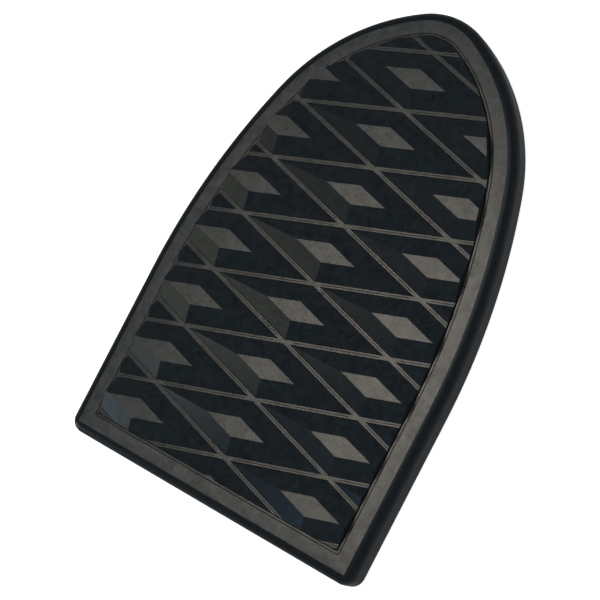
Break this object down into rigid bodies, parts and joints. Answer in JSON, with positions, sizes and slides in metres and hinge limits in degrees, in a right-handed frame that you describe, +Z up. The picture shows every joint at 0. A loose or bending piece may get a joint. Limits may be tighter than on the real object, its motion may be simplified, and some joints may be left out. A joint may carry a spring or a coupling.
{
  "type": "snowboard stomp pad",
  "caption": "Arch-shaped stick-on traction pad for a snowboard's deck: edge frame, raised diamond panel, mounting tape and a split release liner.",
  "frame": {"origin": "under the middle of the outline, on the surface that the pad lies on", "axes": "+Z up from the pad's traction face; +Y towards the round tip; +X to the right, seen from above with the tip away"},
  "size_m": [0.09, 0.138, 0.0105],
  "materials": {
    "frame": "satin top, glossier outer wall",
    "panel": "satin",
    "adhesive_film": "clear tacky film",
    "tape": "fine closed-cell foam",
    "liner": "smooth coated release film"
  },
  "bodies": {
    "pad": {"edge_frame": "frame", "traction_panel": "panel", "panel_bond": "adhesive_film", "foam_tape": "tape"},
    "liner_left": {"liner_left": "liner"},
    "liner_right": {"liner_right": "liner"}
  },
  "joints": [
    {"name": "liner_left_peel", "type": "slide", "parent": "pad", "child": "liner_left", "axis": [-1, 0, 0], "range_m": [0, 0.05]},
    {"name": "liner_right_peel", "type": "slide", "parent": "pad", "child": "liner_right", "axis": [1, 0, 0], "range_m": [0, 0.05]}
  ]
}
